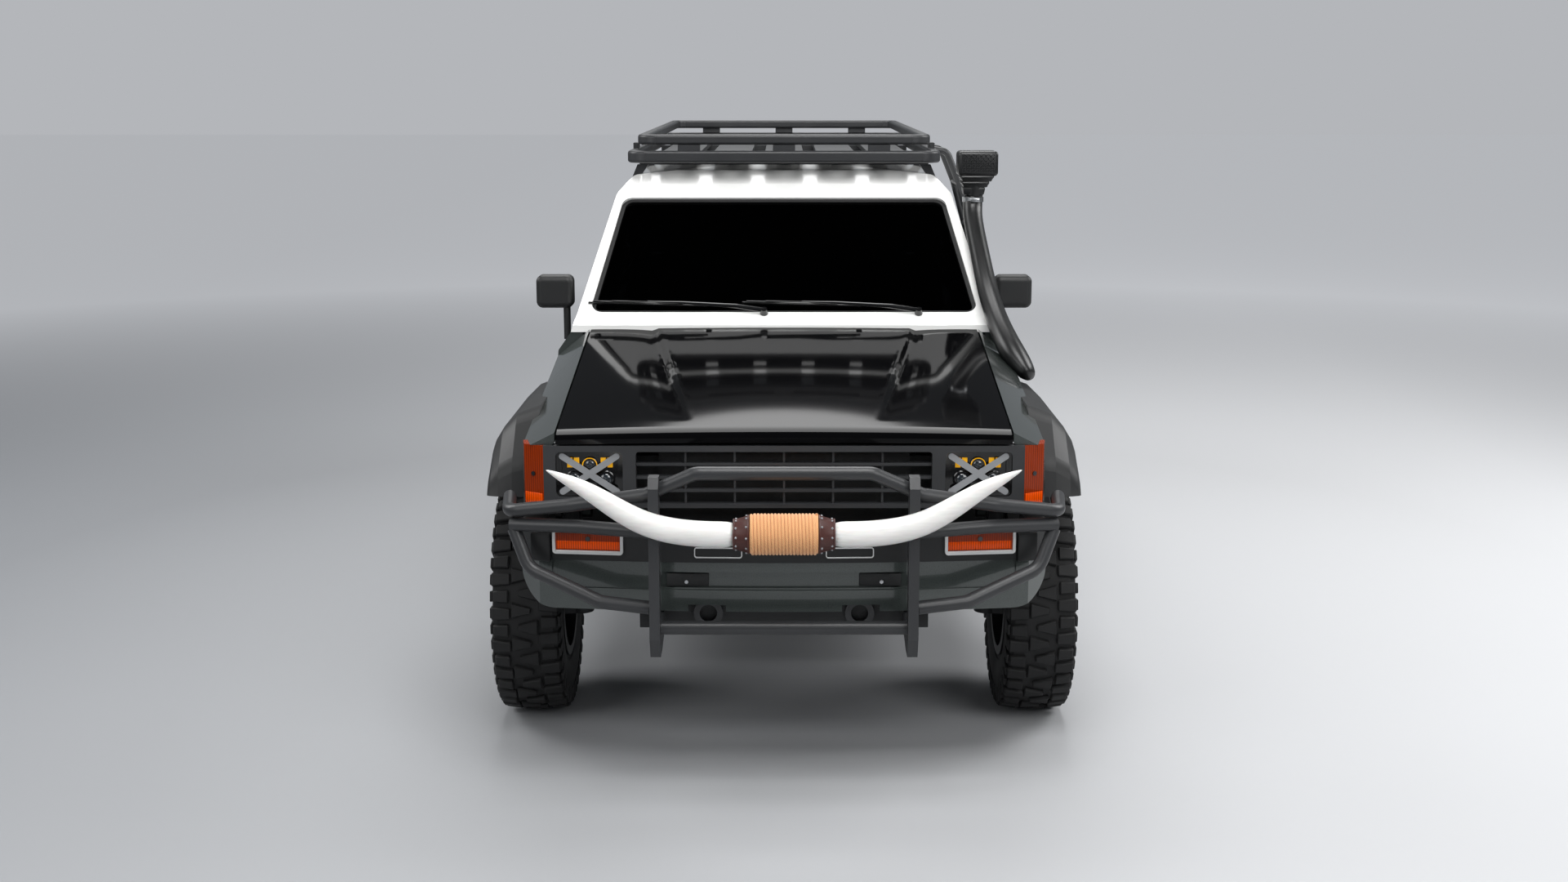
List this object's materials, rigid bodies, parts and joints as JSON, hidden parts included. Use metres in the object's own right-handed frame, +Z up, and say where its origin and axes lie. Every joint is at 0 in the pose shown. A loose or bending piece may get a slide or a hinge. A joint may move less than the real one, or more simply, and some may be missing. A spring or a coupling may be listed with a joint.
{
  "type": "lifted two-door sport utility vehicle",
  "caption": "Lifted two-door sport utility vehicle with hard top, bull bar with a horn trophy, snorkel, roof rack and side ladder; it rolls, steers, and its doors, hood and tailgate open.",
  "frame": {"origin": "on the ground, under the middle of the vehicle, on its centre plane", "axes": "+Z up, -Y is the way it drives, +X is the vehicle's left"},
  "size_m": [1.88, 4.658, 1.893],
  "materials": {
    "chassis_black": "satin chassis black",
    "cast_metal": "as cast",
    "exhaust_steel": "dull",
    "radiator_black": "black coated",
    "body_paint": "grey-green metallic, gloss",
    "hood_black": "gloss black",
    "white_paint": "gloss white",
    "tinted_glass": "dark tint",
    "black_plastic": "fine grain",
    "black_coat": "satin powder coat",
    "grille_plastic": "dark grey satin",
    "lamp_black": "gloss black lamp housing",
    "strap_steel": "brushed",
    "amber_lens": "amber lens",
    "red_lens": "red lens",
    "horn": "polished pale horn",
    "collar_leather": "brown saddle leather",
    "rope": "wound cotton rope",
    "tyre_rubber": "matte",
    "seat_cloth": "woven cloth",
    "cabin_plastic": "grained"
  },
  "bodies": {
    "chassis": {"amber_lamps": "amber_lens", "body_tub": "body_paint", "bull_bar": "black_coat", "bumper_brackets": "chassis_black", "cab_roof": "white_paint", "dashboard": "cabin_plastic", "drivetrain": "cast_metal", "exhaust": "exhaust_steel", "fender_flares": "black_plastic", "fixed_glass": "tinted_glass", "front_axle": "chassis_black", "front_bumper": "black_plastic", "front_fenders": "body_paint", "front_valance": "body_paint", "fuel_tank": "chassis_black", "grille": "grille_plastic", "hardtop": "white_paint", "headlamp_straps": "strap_steel", "headlamps": "lamp_black", "horn_collars": "collar_leather", "horn_wrap": "rope", "horns": "horn", "ladder_frame": "chassis_black", "quarter_panels": "body_paint", "rack_floor": "black_coat", "rack_frame": "black_coat", "radiator": "radiator_black", "rear_axle": "chassis_black", "rear_bumper": "black_coat", "seats": "seat_cloth", "side_ladder": "black_coat", "snorkel": "black_plastic", "steering_wheel": "cabin_plastic", "suspension": "chassis_black", "tail_lamps": "red_lens", "tow_eyes": "black_coat", "windshield_frame": "white_paint", "wipers": "black_plastic"},
    "hood": {"hood": "hood_black"},
    "door_left": {"door_left": "body_paint", "door_glass_left": "tinted_glass", "mirror_left": "black_plastic"},
    "door_right": {"door_right": "body_paint", "door_glass_right": "tinted_glass", "mirror_right": "black_plastic"},
    "tailgate": {"tailgate": "body_paint"},
    "knuckle_left": {"knuckle_left": "chassis_black"},
    "knuckle_right": {"knuckle_right": "chassis_black"},
    "tie_rod": {"tie_rod": "chassis_black"},
    "wheel_front_left": {"tyre_front_left": "tyre_rubber", "rim_front_left": "black_coat"},
    "wheel_front_right": {"tyre_front_right": "tyre_rubber", "rim_front_right": "black_coat"},
    "wheel_rear_left": {"tyre_rear_left": "tyre_rubber", "rim_rear_left": "black_coat"},
    "wheel_rear_right": {"tyre_rear_right": "tyre_rubber", "rim_rear_right": "black_coat"}
  },
  "joints": [
    {"name": "steer_left", "type": "hinge", "parent": "chassis", "child": "knuckle_left", "pos_m": [0.688, -1.307, 0.4], "axis": [0, 0, 1], "range_deg": [-30, 30]},
    {"name": "steer_right", "type": "hinge", "parent": "chassis", "child": "knuckle_right", "pos_m": [-0.688, -1.307, 0.4], "axis": [0, 0, 1], "range_deg": [-30, 30]},
    {"name": "tie_rod_slide", "type": "slide", "parent": "chassis", "child": "tie_rod", "axis": [1, 0, 0], "range_m": [-0.1, 0.1]},
    {"name": "hood_hinge", "type": "hinge", "parent": "chassis", "child": "hood", "pos_m": [0, -0.828, 1.246], "axis": [-1, 0, 0], "range_deg": [0, 55]},
    {"name": "door_left_hinge", "type": "hinge", "parent": "chassis", "child": "door_left", "pos_m": [0.823, -0.823, 0.9], "axis": [0, 0, -1], "range_deg": [0, 65]},
    {"name": "door_right_hinge", "type": "hinge", "parent": "chassis", "child": "door_right", "pos_m": [-0.823, -0.823, 0.9], "axis": [0, 0, 1], "range_deg": [0, 65]},
    {"name": "tailgate_hinge", "type": "hinge", "parent": "chassis", "child": "tailgate", "pos_m": [0, 2.276, 0.599], "axis": [-1, 0, 0], "range_deg": [0, 90]},
    {"name": "wheel_front_left_spin", "type": "hinge", "parent": "knuckle_left", "child": "wheel_front_left", "pos_m": [0.828, -1.307, 0.4], "axis": [1, 0, 0], "continuous": true},
    {"name": "wheel_front_right_spin", "type": "hinge", "parent": "knuckle_right", "child": "wheel_front_right", "pos_m": [-0.828, -1.307, 0.4], "axis": [1, 0, 0], "continuous": true},
    {"name": "wheel_rear_left_spin", "type": "hinge", "parent": "chassis", "child": "wheel_rear_left", "pos_m": [0.828, 1.318, 0.4], "axis": [1, 0, 0], "continuous": true},
    {"name": "wheel_rear_right_spin", "type": "hinge", "parent": "chassis", "child": "wheel_rear_right", "pos_m": [-0.828, 1.318, 0.4], "axis": [1, 0, 0], "continuous": true}
  ],
  "couplings": [
    {"joint": "steer_right", "follows": "steer_left", "ratio": 1},
    {"joint": "tie_rod_slide", "follows": "steer_left", "m_per_rad": -0.19}
  ]
}
